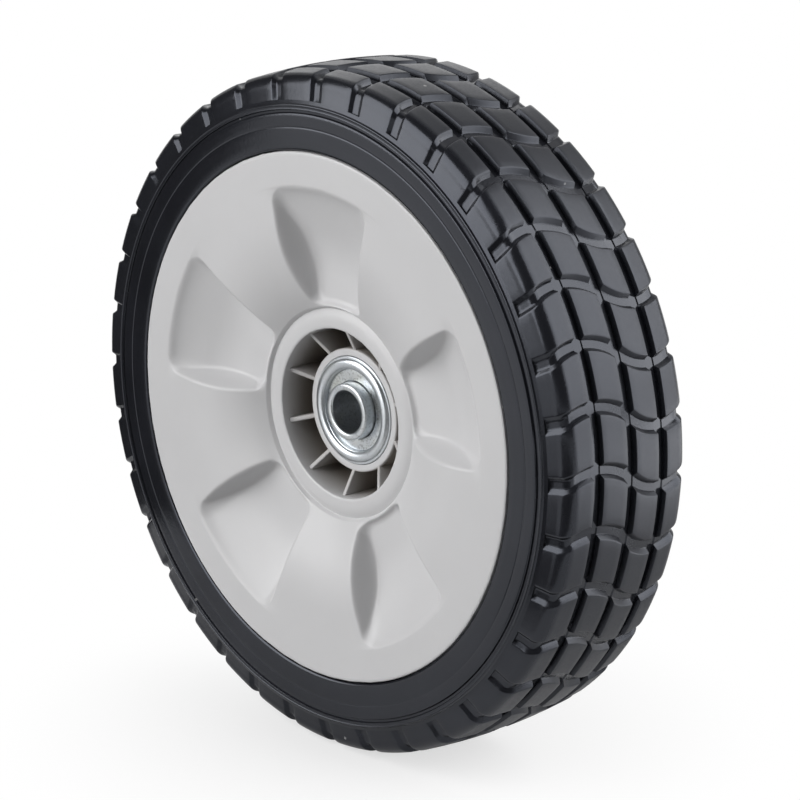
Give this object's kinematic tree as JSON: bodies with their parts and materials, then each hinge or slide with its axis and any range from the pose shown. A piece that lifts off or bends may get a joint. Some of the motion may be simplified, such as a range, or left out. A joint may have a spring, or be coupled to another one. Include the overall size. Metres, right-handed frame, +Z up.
{
  "type": "lawn mower wheel",
  "caption": "Mower wheel with a block-tread tyre, a grey moulded rim with petal recesses and a ribbed hub on flanged ball bearings with a plain axle bore.",
  "frame": {"origin": "centre of the tyre, on the axle line and halfway across the tyre's width", "axes": "+Y along the axle towards the inboard side, +Z up, +X to the right as seen from outboard"},
  "size_m": [0.2032, 0.0508, 0.2032],
  "materials": {
    "tyre": "satin moulded",
    "rim": "satin moulded",
    "zinc": "zinc plated",
    "ball": "polished"
  },
  "bodies": {
    "axle_rings": {"outboard_inner_ring": "zinc", "inboard_inner_ring": "zinc"},
    "wheel": {"tyre": "tyre", "rim": "rim", "outboard_cup": "zinc", "outboard_shield": "zinc", "inboard_cup": "zinc", "inboard_shield": "zinc"},
    "outboard_balls": {"outboard_ball_1": "ball", "outboard_ball_2": "ball", "outboard_ball_3": "ball", "outboard_ball_4": "ball", "outboard_ball_5": "ball", "outboard_ball_6": "ball", "outboard_ball_7": "ball", "outboard_ball_8": "ball", "outboard_ball_9": "ball", "outboard_ball_10": "ball", "outboard_ball_11": "ball", "outboard_ball_12": "ball"},
    "inboard_balls": {"inboard_ball_1": "ball", "inboard_ball_2": "ball", "inboard_ball_3": "ball", "inboard_ball_4": "ball", "inboard_ball_5": "ball", "inboard_ball_6": "ball", "inboard_ball_7": "ball", "inboard_ball_8": "ball", "inboard_ball_9": "ball", "inboard_ball_10": "ball", "inboard_ball_11": "ball", "inboard_ball_12": "ball"}
  },
  "joints": [
    {"name": "wheel_spin", "type": "hinge", "parent": "axle_rings", "child": "wheel", "pos_m": [0, 0, 0], "axis": [0, -1, 0], "continuous": true},
    {"name": "outboard_ball_spin", "type": "hinge", "parent": "axle_rings", "child": "outboard_balls", "pos_m": [0, 0, 0], "axis": [0, -1, 0], "continuous": true},
    {"name": "inboard_ball_spin", "type": "hinge", "parent": "axle_rings", "child": "inboard_balls", "pos_m": [0, 0, 0], "axis": [0, -1, 0], "continuous": true}
  ],
  "couplings": [
    {"joint": "outboard_ball_spin", "follows": "wheel_spin", "ratio": 0.6107},
    {"joint": "inboard_ball_spin", "follows": "wheel_spin", "ratio": 0.6107}
  ]
}
